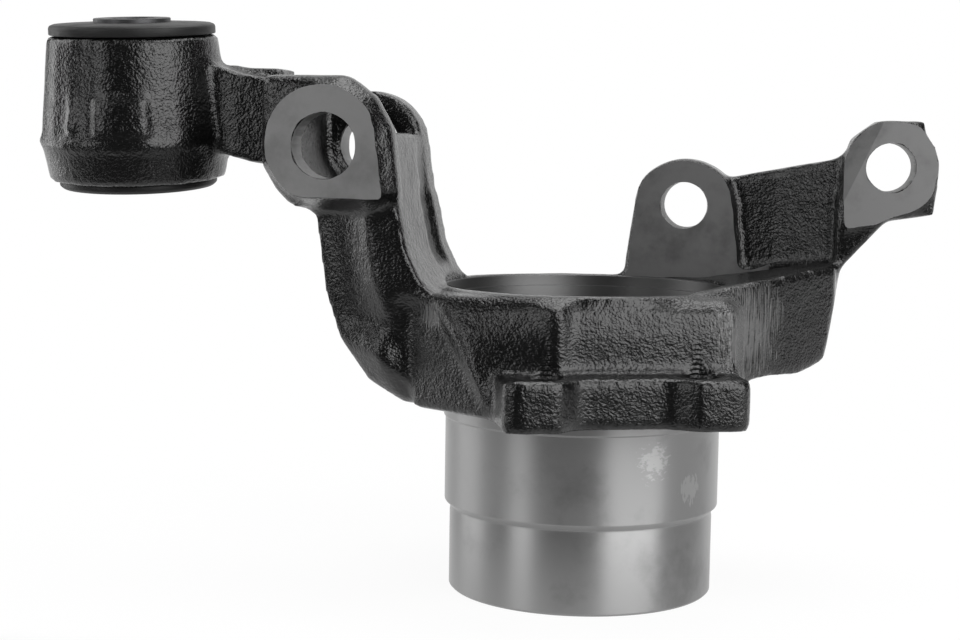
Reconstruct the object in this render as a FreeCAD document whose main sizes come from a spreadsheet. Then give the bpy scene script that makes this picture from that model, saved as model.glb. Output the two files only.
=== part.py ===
import FreeCAD, Part
import os
import Sketcher

# Steering knuckle: one iron casting with a turned barrel, a fork, two link ears and a bushed eye.
# Millimetres. Z is the hub axis, with its zero at the barrel's lower end. X points from the eye
# to the link ears. Y is the direction of the fork's bore, away from the machined faces.

SIZES = [
    ("barrel_radius", 43.0, "lower seat of the turned barrel"),
    ("seat_radius", 44.75, "upper seat of the turned barrel"),
    ("collar_radius", 45.3, "collar above the upper seat"),
    ("shoulder_height", 28.3, "top of the lower seat"),
    ("shoulder_rise", 3.2, "height of the cone between the seats"),
    ("collar_height", 56.2, "top of the upper seat"),
    ("collar_step", 0.5, "bevel under the collar"),
    ("barrel_bevel", 0.8, "bevel at the barrel's end"),
    ("flange_height", 61.0, "underside of the flange"),
    ("flange_thickness", 15.5, "thickness of the flange"),
    ("ring_radius", 49.6, "outside of the cast ring at its top"),
    ("ring_height", 99.5, "top of the cast ring"),
    ("mouth_radius", 45.0, "bore at the ring's top"),
    ("mouth_depth", 4.0, "depth of that bore down to its step"),
    ("recess_radius", 44.0, "wide bore under the step"),
    ("recess_floor", 66.0, "height of the wide bore's floor"),
    ("seat_bore_radius", 36.0, "bearing seat inside the barrel"),
    ("clip_groove_depth", 1.6, "depth of the snap ring groove"),
    ("clip_groove_width", 2.2, "width of the snap ring groove"),
    ("clip_groove_gap", 2.5, "wall between that groove and the recess floor"),
    ("bore_bevel", 1.0, "bevel at the ends of the hub bores"),
    ("flange_turn", 20.5, "turn of the flange about the hub axis, in degrees"),
    ("bolt_half_spacing", 24.0, "half the distance between two flange bolts"),
    ("bolt_reach", 55.5, "distance of a pair of flange bolts from the hub axis"),
    ("lobe_radius", 11.0, "cast metal round a flange bolt"),
    ("flange_side", 13.5, "cast metal beside a flange bolt"),
    ("lobe_round", 5.0, "round corners of the flange"),
    ("waist_depth", 6.0, "how far the flange's edge steps back between the lobes"),
    ("waist_half_width", 13.5, "half the width of that waist"),
    ("waist_slope", 7.5, "width of the slope from a lobe to the waist"),
    ("tapped_radius", 4.25, "tapping drill of the flange bolts"),
    ("wall_reach", 51.2, "flat front wall above the flange, from the hub axis"),
    ("wall_half_width", 36.0, "half the width of that wall"),
    ("wall_height", 88.0, "top of its upright part"),
    ("wall_lean", 0.8, "draft of that upright part"),
    ("fork_x", -74.2, "fork bore, place across"),
    ("fork_z", 143.3, "fork bore, height"),
    ("fork_face_y", -50.0, "machined face of the near fork ear"),
    ("fork_spot", 1.0, "how far the machined face stands proud of the casting"),
    ("near_ear_thickness", 12.0, "near fork ear"),
    ("fork_gap", 42.0, "clear width between the fork ears"),
    ("far_ear_thickness", 13.0, "far fork ear"),
    ("fork_bore_radius", 10.1, "bolt bore through both fork ears"),
    ("fork_face_radius", 18.3, "machined face round the near bore"),
    ("near_ear_slope", 4.0, "depth of the slope round the near ear's cast outline"),
    ("far_ear_radius", 18.2, "outside of the far fork ear"),
    ("pocket_radius", 15.0, "round floor of the pocket between the ears"),
    ("neck_front_y", -43.0, "front of the neck"),
    ("neck_depth", 60.0, "depth of the neck from front to back"),
    ("neck_slope", 9.5, "depth of the slope along the neck's outer front edges"),
    ("groove_y", -9.0, "groove down the neck's inner side, its front"),
    ("groove_width", 14.0, "width of that groove"),
    ("groove_depth", 2.0, "depth of that groove"),
    ("eye_x", -149.7, "eye axis, place across"),
    ("eye_y", -12.0, "eye axis, place in depth"),
    ("eye_z", 144.0, "height of the eye's parting line"),
    ("eye_lean", 6.0, "lean of the eye axis towards the front, in degrees"),
    ("eye_part_radius", 33.8, "eye at its parting line"),
    ("eye_top_radius", 30.6, "eye at its upper end"),
    ("eye_low_radius", 30.1, "eye at its lower end"),
    ("eye_part_step", 0.9, "step at the parting line"),
    ("eye_rise", 32.6, "eye above its parting line"),
    ("eye_drop", 15.2, "eye below its parting line"),
    ("sleeve_radius", 25.0, "bore of the eye and outside of the bush"),
    ("sleeve_wall", 2.0, "wall of the bush's outer sleeve"),
    ("cap_radius", 28.4, "rubber cap on the eye's upper end"),
    ("cap_height", 5.2, "height of that cap's rim"),
    ("cap_crown", 1.8, "rise of the cap towards its middle"),
    ("lip_radius", 27.3, "rubber lip under the eye"),
    ("lip_height", 2.4, "height of that lip"),
    ("core_radius", 12.6, "outside of the bush's inner sleeve"),
    ("core_bore_radius", 7.1, "bolt bore of the bush"),
    ("core_stand", 1.6, "how far the inner sleeve stands out of the rubber"),
    ("arm_front_y", -21.0, "front of the arm between fork and eye"),
    ("arm_thickness", 18.0, "thickness of that arm"),
    ("stop_top", 168.3, "top of the small pad on the arm"),
    ("eye_pad_depth", 10.0, "depth of the small pad on the eye, down into its wall"),
    ("left_ear_x", 27.5, "left link ear, bore across"),
    ("left_ear_z", 124.2, "left link ear, bore height"),
    ("left_ear_y", 45.0, "left link ear, machined face"),
    ("right_ear_x", 96.8, "right link ear, bore across"),
    ("right_ear_z", 138.6, "right link ear, bore height"),
    ("right_ear_y", 27.0, "right link ear, machined face at its bore"),
    ("right_ear_turn", 6.0, "turn of the right link ear, in degrees"),
    ("link_ear_radius", 16.4, "outside of the link ears"),
    ("link_ear_thickness", 15.0, "thickness of the link ears"),
    ("link_bore_radius", 8.0, "bolt bore of the link ears"),
    ("link_spot", 1.0, "how far their machined faces stand proud"),
    ("right_face_radius", 15.5, "machined face of the right link ear"),
    ("block_height", 108.2, "top of the block that carries the link ears, at its right end"),
    ("block_floor", 71.5, "underside of that block"),
    ("web_top", 144.5, "web between the link ears before its top is sloped"),
    ("gusset_y", 27.0, "front of the gusset under the right link ear"),
    ("gusset_thickness", 14.0, "thickness of the gusset"),
    ("cut_reach", 120.0, "length of the cuts that go right through"),
]

doc = FreeCAD.newDocument("steering_knuckle")
sheet = doc.addObject("Spreadsheet::Sheet", "sizes")
for line, (alias, value, note) in enumerate(SIZES, start=1):
    sheet.set("A%d" % line, alias)
    sheet.set("B%d" % line, str(value))
    sheet.set("C%d" % line, note)
    sheet.setAlias("B%d" % line, alias)
doc.recompute()


def size(alias):
    return float(sheet.get(alias))


def bind(thing, path, formula):
    thing.setExpression(path, formula)


def from_sheet(formula):
    # Words of a formula that are sizes get the sheet's name in front of them.
    aliases = {alias for alias, value, note in SIZES}
    words = formula.split()
    return "(" + " ".join("sizes." + word if word in aliases else word for word in words) + ")"


def new_body(name):
    body = doc.addObject("PartDesign::Body", name)
    body.Label = name
    return body


def plane_of(body, role):
    return next(item for item in body.Origin.OriginFeatures if item.Role == role)


def new_sketch(body, name, role, base=("0", "0", "0"), axis=(0, 0, 1), angle="0"):
    sketch = body.newObject("Sketcher::SketchObject", name)
    sketch.AttachmentSupport = [(plane_of(body, role), "")]
    sketch.MapMode = "FlatFace"
    turn = FreeCAD.Rotation(FreeCAD.Vector(*axis), 1.0)
    sketch.AttachmentOffset = FreeCAD.Placement(FreeCAD.Vector(0, 0, 0), turn)
    for key, formula in zip("xyz", base):
        bind(sketch, "AttachmentOffset.Base." + key, from_sheet(formula) + " * 1mm")
    bind(sketch, "AttachmentOffset.Rotation.Angle", from_sheet(angle) + " * 1deg")
    return sketch


def value_of(formula):
    # A formula is a sum of sizes and numbers, with spaces round each sign.
    aliases = {alias for alias, value, note in SIZES}
    total, sign = 0.0, 1.0
    for word in formula.split():
        if word in "+-":
            sign = 1.0 if word == "+" else -1.0
        else:
            total += sign * (size(word) if word in aliases else float(word))
    return total


def pin(sketch, kind, refs, formula):
    # One driving measure of a sketch, tied to the sheet.
    index = sketch.addConstraint(Sketcher.Constraint(kind, *refs, value_of(formula)))
    bind(sketch, "Constraints[%d]" % index, from_sheet(formula) + " * 1mm")


def outline(sketch, corners):
    # A closed outline of straight lines; each corner is a pair of formulas.
    spots = [FreeCAD.Vector(value_of(a), value_of(b), 0) for a, b in corners]
    count = len(spots)
    first = None
    for index in range(count):
        line = sketch.addGeometry(Part.LineSegment(spots[index], spots[(index + 1) % count]), False)
        first = line if first is None else first
    for index in range(count):
        after = first + (index + 1) % count
        sketch.addConstraint(Sketcher.Constraint("Coincident", first + index, 2, after, 1))
    for index, (a, b) in enumerate(corners):
        pin(sketch, "DistanceX", (-1, 1, first + index, 1), a)
        pin(sketch, "DistanceY", (-1, 1, first + index, 1), b)
    return sketch


def circle(sketch, x_formula, y_formula, radius_formula):
    centre = FreeCAD.Vector(value_of(x_formula), value_of(y_formula), 0)
    ring = sketch.addGeometry(Part.Circle(centre, FreeCAD.Vector(0, 0, 1), value_of(radius_formula)), False)
    pin(sketch, "DistanceX", (-1, 1, ring, 3), x_formula)
    pin(sketch, "DistanceY", (-1, 1, ring, 3), y_formula)
    pin(sketch, "Radius", (ring,), radius_formula)
    return sketch


def tab(sketch, centre, radius_formula, low_left, low_right):
    # An ear's outline: a round top whose sides run straight down to two corners.
    middle = FreeCAD.Vector(value_of(centre[0]), value_of(centre[1]), 0)
    radius = value_of(radius_formula)
    left = FreeCAD.Vector(value_of(low_left[0]), value_of(low_left[1]), 0)
    right = FreeCAD.Vector(value_of(low_right[0]), value_of(low_right[1]), 0)
    touch_left = tangent_point(middle, radius, left, 1)
    touch_right = tangent_point(middle, radius, right, -1)
    top = middle + FreeCAD.Vector(0, radius, 0)
    arc = sketch.addGeometry(Part.Arc(touch_right, top, touch_left), False)
    ends = sketch.Geometry[arc].StartPoint
    right_end, left_end = (1, 2) if (ends - touch_right).Length < 0.01 else (2, 1)
    left_line = sketch.addGeometry(Part.LineSegment(touch_left, left), False)
    low_line = sketch.addGeometry(Part.LineSegment(left, right), False)
    right_line = sketch.addGeometry(Part.LineSegment(right, touch_right), False)
    sketch.addConstraint(Sketcher.Constraint("Tangent", arc, left_end, left_line, 1))
    sketch.addConstraint(Sketcher.Constraint("Coincident", left_line, 2, low_line, 1))
    sketch.addConstraint(Sketcher.Constraint("Coincident", low_line, 2, right_line, 1))
    sketch.addConstraint(Sketcher.Constraint("Tangent", right_line, 2, arc, right_end))
    pin(sketch, "DistanceX", (-1, 1, arc, 3), centre[0])
    pin(sketch, "DistanceY", (-1, 1, arc, 3), centre[1])
    pin(sketch, "Radius", (arc,), radius_formula)
    pin(sketch, "DistanceX", (-1, 1, low_line, 1), low_left[0])
    pin(sketch, "DistanceY", (-1, 1, low_line, 1), low_left[1])
    pin(sketch, "DistanceX", (-1, 1, low_line, 2), low_right[0])
    pin(sketch, "DistanceY", (-1, 1, low_line, 2), low_right[1])
    return sketch


def cut_round(sketch, centre, radius_formula, right_x, right_y, low_x, low_y):
    # A round face with a flat bottom and a straight right side, which meet in a corner.
    middle = FreeCAD.Vector(value_of(centre[0]), value_of(centre[1]), 0)
    radius = value_of(radius_formula)
    right_end = middle + FreeCAD.Vector(float(right_x), float(right_y), 0)
    low_end = middle + FreeCAD.Vector(-((radius ** 2 - float(low_y) ** 2) ** 0.5), float(low_y), 0)
    corner = middle + FreeCAD.Vector(float(low_x), float(low_y), 0)
    far_left = middle - FreeCAD.Vector(radius, 0, 0)
    arc = sketch.addGeometry(Part.Arc(right_end, far_left, low_end), False)
    starts_right = (sketch.Geometry[arc].StartPoint - right_end).Length < 0.01
    first, last = (1, 2) if starts_right else (2, 1)
    low_line = sketch.addGeometry(Part.LineSegment(low_end, corner), False)
    right_line = sketch.addGeometry(Part.LineSegment(corner, right_end), False)
    sketch.addConstraint(Sketcher.Constraint("Coincident", arc, last, low_line, 1))
    sketch.addConstraint(Sketcher.Constraint("Coincident", low_line, 2, right_line, 1))
    sketch.addConstraint(Sketcher.Constraint("Coincident", right_line, 2, arc, first))
    pin(sketch, "DistanceX", (-1, 1, arc, 3), centre[0])
    pin(sketch, "DistanceY", (-1, 1, arc, 3), centre[1])
    pin(sketch, "Radius", (arc,), radius_formula)
    pin(sketch, "DistanceX", (-1, 1, low_line, 2), centre[0] + " + " + low_x)
    sketch.addConstraint(Sketcher.Constraint("Horizontal", low_line))
    pin(sketch, "DistanceY", (-1, 1, low_line, 2), centre[1] + " + " + low_y)
    pin(sketch, "DistanceY", (-1, 1, arc, first), centre[1] + " + " + right_y)
    return sketch


def tangent_point(middle, radius, corner, side):
    # Where a line from the corner touches the circle, on its left (1) or right (-1) side.
    to_corner = corner - middle
    along = radius * radius / to_corner.Length
    across = radius * (1 - (radius / to_corner.Length) ** 2) ** 0.5
    unit = to_corner / to_corner.Length
    normal = FreeCAD.Vector(unit.y, -unit.x, 0) * side
    return middle + unit * along + normal * across


def settle(body, feature):
    # Makes the new feature the body's tip, and stops if it did not come out sound.
    body.Tip = feature
    doc.recompute()
    if "Invalid" in feature.State or feature.Shape.isNull() or not feature.Shape.isValid():
        raise RuntimeError("failed feature: " + feature.Name)
    return feature


def pad(body, name, sketch, length, reverse=False):
    feature = body.newObject("PartDesign::Pad", name)
    feature.Profile = sketch
    bind(feature, "Length", from_sheet(length) + " * 1mm")
    feature.Reversed = reverse
    return settle(body, feature)


def pocket(body, name, sketch, length, reverse=False):
    before = body.Tip.Shape.Volume
    feature = body.newObject("PartDesign::Pocket", name)
    feature.Profile = sketch
    bind(feature, "Length", from_sheet(length) + " * 1mm")
    feature.Reversed = reverse
    settle(body, feature)
    if feature.Shape.Volume > before - 1.0:
        raise RuntimeError(name + " cuts nothing")
    return feature


def revolve(body, name, sketch, kind="PartDesign::Revolution"):
    feature = body.newObject(kind, name)
    feature.Profile = sketch
    feature.ReferenceAxis = (sketch, ["V_Axis"])
    feature.Angle = 360.0
    return settle(body, feature)


def loft(body, name, sketches):
    feature = body.newObject("PartDesign::AdditiveLoft", name)
    feature.Profile = sketches[0]
    feature.Sections = sketches[1:]
    feature.Ruled = True
    return settle(body, feature)


def edges_where(feature, test):
    names = []
    for index, edge in enumerate(feature.Shape.Edges, start=1):
        if test(edge):
            names.append("Edge%d" % index)
    return names


def round_edges(body, name, test, formula):
    base = body.Tip
    names = edges_where(base, test)
    if not names:
        raise RuntimeError(name + " finds no edge")
    feature = body.newObject("PartDesign::Fillet", name)
    feature.Base = (base, names)
    bind(feature, "Radius", from_sheet(formula) + " * 1mm")
    return settle(body, feature)


def spots_of(edge):
    low, high = edge.FirstParameter, edge.LastParameter
    return [edge.valueAt(low), edge.valueAt((low + high) / 2), edge.valueAt(high)]


def flange_corner(edge):
    # Upright edges of a flange, outside the ring and as tall as the flange is thick.
    ends = spots_of(edge)
    low, high = sorted((ends[0].z, ends[2].z))
    upright = all(abs(spot.x - ends[0].x) + abs(spot.y - ends[0].y) < 0.05 for spot in ends)
    full = abs(low - size("flange_height")) < 0.05 and high - low > size("flange_thickness") - 0.05
    outside = (ends[1].x ** 2 + ends[1].y ** 2) ** 0.5 > size("wall_reach") + 5.0
    return upright and full and outside


# Half of the plate under the ring, seen from above, with a lobe round each of its two bolts.
FLANGE = [
    ("0 - bolt_half_spacing - flange_side", "-25"),
    ("0 - bolt_half_spacing - flange_side", "0 - bolt_reach - lobe_radius"),
    ("0 - waist_half_width - waist_slope", "0 - bolt_reach - lobe_radius"),
    ("0 - waist_half_width", "0 - bolt_reach - lobe_radius + waist_depth"),
    ("waist_half_width", "0 - bolt_reach - lobe_radius + waist_depth"),
    ("waist_half_width + waist_slope", "0 - bolt_reach - lobe_radius"),
    ("bolt_half_spacing + flange_side", "0 - bolt_reach - lobe_radius"),
    ("bolt_half_spacing + flange_side", "-25"),
]
# The flat wall above it, in level sections: a height, then the outline from left to right.
WALL = [
    ("flange_height + 1.5", [
        ("-45", "-10"), ("-60", "-23.5"), ("0 - wall_half_width - 4.4", "0 - wall_reach - wall_lean"),
        ("-22.5", "0 - wall_reach - wall_lean"), ("wall_half_width", "0 - wall_reach - wall_lean"),
        ("44.7", "-31.5"), ("30", "-10")]),
    ("wall_height", [
        ("-45", "-10"), ("-60", "-23.5"), ("0 - wall_half_width - 10.5", "0 - wall_reach + 10.7"),
        ("-22.5", "0 - wall_reach"), ("wall_half_width", "0 - wall_reach"), ("44.7", "-31.5"), ("30", "-10")]),
    ("ring_height - 4.5", [
        ("-45", "-10"), ("-60", "-23.5"), ("0 - wall_half_width - 13.8", "0 - wall_reach + 17.7"),
        ("-22.5", "0 - wall_reach + 1.0"), ("wall_half_width", "0 - wall_reach + 1.0"),
        ("44.5", "-31.5"), ("30", "-10")]),
    ("ring_height - 1.0", [
        ("-45", "-10"), ("-60", "-23.5"), ("0 - wall_half_width - 15.5", "0 - wall_reach + 21.9"),
        ("-24", "0 - wall_reach + 6.0"), ("wall_half_width - 3.0", "0 - wall_reach + 4.5"),
        ("43", "-31"), ("30", "-10")]),
]
# The neck, from the fork down into the side of the ring, seen from the front.
NECK = [
    ("-81.0", "118.0"), ("-78.0", "97.0"), ("-73.5", "83.0"), ("-63.5", "69.5"), ("-52.0", "63.0"),
    ("-36.0", "flange_height + 0.8"), ("-16.0", "flange_height + 0.2"), ("-16.0", "94.0"),
    ("-40.0", "97.5"), ("-45.0", "102.0"), ("-49.5", "111.0"), ("-53.0", "128.0"),
    ("-81.0", "128.0"),
]
# Its narrower front, with a ridge where the slope along the outer side begins.
NECK_FRONT = [
    ("-71.5", "118.0"), ("-68.0", "97.0"), ("-62.5", "84.5"), ("-54.5", "74.5"), ("-45.0", "67.5"),
    ("-34.0", "flange_height + 3.0"), ("-16.0", "flange_height + 1.0"), ("-16.0", "94.0"),
    ("-40.0", "97.5"), ("-45.0", "102.0"), ("-49.5", "111.0"), ("-53.0", "128.0"),
    ("-71.5", "128.0"),
]
# The near fork ear as cast, about the fork's bore.
NEAR_EAR = [
    ("fork_x - 21.0", "fork_z - 6.5"), ("fork_x - 21.0", "fork_z + 20.0"),
    ("fork_x - 19.5", "fork_z + 21.6"), ("fork_x + 6.0", "fork_z + 21.6"),
    ("fork_x + 15.0", "fork_z + 15.0"), ("fork_x + 20.3", "fork_z + 5.2"),
    ("fork_x + 22.6", "fork_z - 15.0"), ("fork_x + 5.5", "fork_z - 23.6"),
    ("fork_x - 8.8", "fork_z - 21.0"), ("fork_x - 16.5", "fork_z - 14.0"),
]
# Its smaller front, from which the cast sides slope back.
NEAR_EAR_FRONT = [
    ("fork_x - 19.0", "fork_z - 5.0"), ("fork_x - 19.0", "fork_z + 18.5"),
    ("fork_x - 18.0", "fork_z + 19.5"), ("fork_x + 4.5", "fork_z + 19.5"),
    ("fork_x + 12.0", "fork_z + 14.0"), ("fork_x + 16.5", "fork_z + 5.0"),
    ("fork_x + 18.9", "fork_z - 15.0"), ("fork_x + 4.5", "fork_z - 18.0"),
    ("fork_x - 6.5", "fork_z - 17.5"), ("fork_x - 13.0", "fork_z - 12.5"),
]
# The walls at both sides of the pocket between the ears.
FORK_WALLS = [
    ("fork_x - 8.0", "fork_z - 21.5"), ("fork_x - 16.5", "fork_z - 14.0"),
    ("fork_x - 20.5", "fork_z - 6.0"), ("fork_x - 20.5", "fork_z + 20.8"),
    ("fork_x - 14.5", "fork_z + 20.8"), ("fork_x - 12.0", "fork_z + 5.0"),
    ("fork_x + 19.4", "fork_z + 4.4"), ("fork_x + 21.4", "fork_z - 15.0"),
    ("fork_x + 21.4", "fork_z - 23.0"),
]
# The arm that joins the eye to the fork.
ARM = [
    ("eye_x + 14.0", "eye_z + 31.0"), ("eye_x + 23.5", "eye_z + 30.0"), ("eye_x + 26.5", "eye_z + 24.0"),
    ("fork_x - 30.5", "eye_z + 21.0"), ("fork_x - 17.0", "eye_z + 20.6"),
    ("fork_x - 17.0", "eye_z - 7.5"), ("fork_x - 31.0", "eye_z - 7.0"),
    ("eye_x + 33.5", "eye_z - 4.5"), ("eye_x + 14.0", "eye_z - 8.0"),
]
# The block beside the ring that carries the link ears, seen from above.
BLOCK = [
    ("20.0", "-30.0"), ("41.0", "-29.5"), ("52.5", "-18.0"), ("67.0", "1.0"), ("80.0", "18.0"),
    ("80.5", "40.0"), ("66.0", "54.0"), ("50.0", "61.0"), ("9.0", "61.0"), ("6.0", "48.0"),
    ("-8.0", "46.0"),
    ("0.0", "30.0"),
]
# The web between the link ears, seen from above.
WEB = [
    ("38.0", "50.0"), ("60.0", "45.0"), ("80.0", "36.0"), ("86.0", "34.0"), ("86.0", "41.0"),
    ("66.0", "56.0"), ("40.0", "60.0"),
]


def make_casting():
    body = new_body("knuckle_casting")

    # Turned barrel and cast ring as one round blank.
    profile = new_sketch(body, "hub_profile", "XZ_Plane")
    outline(profile, [
        ("0", "0"), ("barrel_radius - barrel_bevel", "0"), ("barrel_radius", "barrel_bevel"),
        ("barrel_radius", "shoulder_height"),
        ("seat_radius", "shoulder_height + shoulder_rise"), ("seat_radius", "collar_height"),
        ("collar_radius", "collar_height + collar_step"), ("collar_radius", "flange_height + 1.0"),
        ("ring_radius", "flange_height + 6.0"), ("ring_radius", "ring_height"), ("0", "ring_height")])
    revolve(body, "hub_blank", profile)

    # Neck.
    ridge = new_sketch(body, "neck_front_outline", "XZ_Plane", base=("0", "0", "0 - neck_front_y"))
    outline(ridge, NECK_FRONT)
    slope_end = new_sketch(body, "neck_slope_outline", "XZ_Plane",
                           base=("0", "0", "0 - neck_front_y - neck_slope"))
    outline(slope_end, NECK)
    loft(body, "neck_front", [ridge, slope_end])
    neck = new_sketch(body, "neck_outline", "XZ_Plane", base=("0", "0", "0 - neck_front_y - neck_slope"))
    outline(neck, NECK)
    pad(body, "neck", neck, "neck_depth - neck_slope", reverse=True)

    # Flange with two lobes at the front and two at the back, and a flat wall above each pair.
    for name, turn in (("front", "flange_turn"), ("back", "flange_turn + 180")):
        flange = new_sketch(body, name + "_flange_outline", "XY_Plane",
                            base=("0", "0", "flange_height"), angle=turn)
        outline(flange, FLANGE)
        pad(body, name + "_flange", flange, "flange_thickness")
        round_edges(body, name + "_lobe_rounds", flange_corner, "lobe_round")
        sections = []
        for step, (rise, corners) in enumerate(WALL):
            section = new_sketch(body, "%s_wall_section_%d" % (name, step), "XY_Plane",
                                 base=("0", "0", rise), angle=turn)
            sections.append(outline(section, corners))
        loft(body, name + "_wall", sections)

    # Fork: near ear with its machined face, walls, far ear.
    near_front = new_sketch(body, "near_ear_front_outline", "XZ_Plane",
                            base=("0", "0", "0 - fork_face_y - fork_spot"))
    outline(near_front, NEAR_EAR_FRONT)
    near_sides = new_sketch(body, "near_ear_slope_outline", "XZ_Plane",
                            base=("0", "0", "0 - fork_face_y - fork_spot - near_ear_slope"))
    outline(near_sides, NEAR_EAR)
    loft(body, "near_ear_front", [near_front, near_sides])
    near = new_sketch(body, "near_ear_outline", "XZ_Plane",
                      base=("0", "0", "0 - fork_face_y - fork_spot - near_ear_slope"))
    outline(near, NEAR_EAR)
    pad(body, "near_ear", near, "near_ear_thickness - fork_spot - near_ear_slope", reverse=True)
    near_face = new_sketch(body, "near_face_outline", "XZ_Plane", base=("0", "0", "0 - fork_face_y"))
    cut_round(near_face, ("fork_x", "fork_z"), "fork_face_radius", "15.2", "10.1", "18.9", "-16")
    pad(body, "near_face", near_face, "fork_spot + 1", reverse=True)
    walls = new_sketch(body, "fork_walls_outline", "XZ_Plane",
                       base=("0", "0", "0 - fork_face_y - near_ear_thickness + 0.5"))
    outline(walls, FORK_WALLS)
    pad(body, "fork_walls", walls, "fork_gap + 1.0", reverse=True)
    far = new_sketch(body, "far_ear_outline", "XZ_Plane",
                     base=("0", "0", "0 - fork_face_y - near_ear_thickness - fork_gap"))
    tab(far, ("fork_x", "fork_z"), "far_ear_radius",
        ("fork_x - 14.0", "fork_z - 21.0"), ("fork_x + 21.0", "fork_z - 19.0"))
    pad(body, "far_ear", far, "far_ear_thickness", reverse=True)

    # Groove down the inner side of the fork and the neck.
    groove = new_sketch(body, "groove_outline", "XZ_Plane", base=("0", "0", "0 - groove_y"))
    outline(groove, [
        ("-40.0", "152.0"), ("-54.8 - groove_depth", "152.0"), ("-53.0 - groove_depth", "128.0"),
        ("-49.5 - groove_depth", "111.0"), ("-47.0 - groove_depth", "105.5"), ("-43.0", "104.5"),
        ("-40.0", "112.0")])
    pocket(body, "neck_groove", groove, "groove_width")

    # Arm, with the small raised pad on top of it.
    arm = new_sketch(body, "arm_outline", "XZ_Plane", base=("0", "0", "0 - arm_front_y"))
    outline(arm, ARM)
    pad(body, "arm", arm, "arm_thickness", reverse=True)
    stop = new_sketch(body, "stop_outline", "XY_Plane", base=("0", "0", "eye_z + 15"))
    outline(stop, [("fork_x - 42.0", "arm_front_y + 14.0"), ("fork_x - 27.0", "arm_front_y + 14.0"),
                   ("fork_x - 27.0", "arm_front_y + 30.0"), ("fork_x - 42.0", "arm_front_y + 30.0")])
    pad(body, "stop_block", stop, "stop_top - eye_z - 15")

    # Eye, leaning towards the front.
    eye = new_sketch(body, "eye_profile", "XZ_Plane", base=("eye_x", "eye_z", "0 - eye_y"),
                     axis=(1, 0, 0), angle="eye_lean")
    outline(eye, [
        ("0", "0 - eye_drop"), ("eye_low_radius", "0 - eye_drop"),
        ("eye_part_radius - eye_part_step", "0"), ("eye_part_radius", "0"),
        ("eye_part_radius", "2.0"), ("eye_top_radius", "eye_rise"), ("0", "eye_rise")])
    revolve(body, "eye", eye)
    badge = new_sketch(body, "eye_pad_outline", "XZ_Plane",
                       base=("eye_x", "eye_z", "eye_part_radius - eye_y + 0.4"))
    outline(badge, [("-13.5", "1.0"), ("0.5", "1.0"), ("0.5", "14.5"), ("-13.5", "14.5")])
    pad(body, "eye_pad", badge, "eye_pad_depth", reverse=True)

    # Block under the link ears, level with the ring and then rising to the right.
    block = new_sketch(body, "block_outline", "XY_Plane", base=("0", "0", "block_floor"))
    outline(block, BLOCK)
    pad(body, "block", block, "block_height - block_floor")
    top = new_sketch(body, "block_top_outline", "XZ_Plane", base=("0", "0", "40"))
    outline(top, [("-15", "ring_height"), ("34", "ring_height"), ("90", "block_height"),
                  ("90", "block_height + 10"), ("-15", "block_height + 10")])
    pocket(body, "block_top", top, "cut_reach")

    # Web between the link ears, with a sloping top, and the gusset under the right one.
    web = new_sketch(body, "web_outline", "XY_Plane", base=("0", "0", "ring_height - 2"))
    outline(web, WEB)
    pad(body, "web", web, "web_top - ring_height + 2")
    slope = new_sketch(body, "web_slope", "XZ_Plane", base=("0", "0", "-30"))
    outline(slope, [("30.0", "132.0"), ("45.3", "134.6"), ("78.5", "141.0"), ("88", "147.0"),
                    ("88", "160.0"), ("30.0", "160.0")])
    pocket(body, "web_slope_cut", slope, "cut_reach")
    gusset = new_sketch(body, "gusset_outline", "XZ_Plane", base=("0", "0", "0 - gusset_y"))
    outline(gusset, [("79.5", "97.0"), ("81.5", "105.0"), ("96.5", "122.0"), ("92.0", "130.0"),
                     ("79.5", "130.0")])
    pad(body, "gusset", gusset, "gusset_thickness", reverse=True)
    under = new_sketch(body, "block_underside", "XZ_Plane", base=("0", "0", "40"))
    outline(under, [("53.0", "55.0"), ("110.0", "55.0"), ("110.0", "122.0"), ("96.5", "122.0"),
                    ("81.5", "105.0"), ("80.5", "99.0"), ("77.0", "81.5"), ("68.0", "75.0"),
                    ("53.0", "71.0")])
    pocket(body, "block_rise", under, "cut_reach")

    # Left link ear.
    left = new_sketch(body, "left_ear_outline", "XZ_Plane", base=("0", "0", "0 - left_ear_y - link_spot"))
    tab(left, ("left_ear_x", "left_ear_z"), "link_ear_radius + 0.8",
        ("left_ear_x - 20.5", "block_height - 6"), ("left_ear_x + 20.0", "block_height - 6"))
    pad(body, "left_ear", left, "link_ear_thickness - link_spot", reverse=True)
    left_face = new_sketch(body, "left_face_outline", "XZ_Plane", base=("0", "0", "0 - left_ear_y"))
    tab(left_face, ("left_ear_x", "left_ear_z"), "link_ear_radius",
        ("left_ear_x - 18.6", "ring_height - 1"), ("left_ear_x + 19.4", "ring_height - 1"))
    pad(body, "left_face", left_face, "link_spot + 1", reverse=True)

    # Right link ear, turned a little about Z.
    seat = dict(axis=(0, 1, 0), angle="right_ear_turn")
    right = new_sketch(body, "right_ear_outline", "XZ_Plane",
                       base=("right_ear_x", "right_ear_z", "0 - right_ear_y - link_spot"), **seat)
    outline(right, [
        ("-15.0", "-21.5"), ("-1.0", "-17.8"), ("14.3", "-15.4"), ("15.3", "-6.0"), ("15.0", "3.0"),
        ("11.2", "10.0"), ("10.4", "15.4"), ("-4.5", "15.2"), ("-12.5", "9.2"), ("-15.6", "-2.0")])
    pad(body, "right_ear", right, "link_ear_thickness - link_spot", reverse=True)
    right_face = new_sketch(body, "right_face_outline", "XZ_Plane",
                            base=("right_ear_x", "right_ear_z", "0 - right_ear_y"), **seat)
    tab(right_face, ("0", "0"), "right_face_radius", ("-14.6", "-20.4"), ("-12.6", "-19.9"))
    pad(body, "right_face", right_face, "link_spot + 1", reverse=True)

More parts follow.
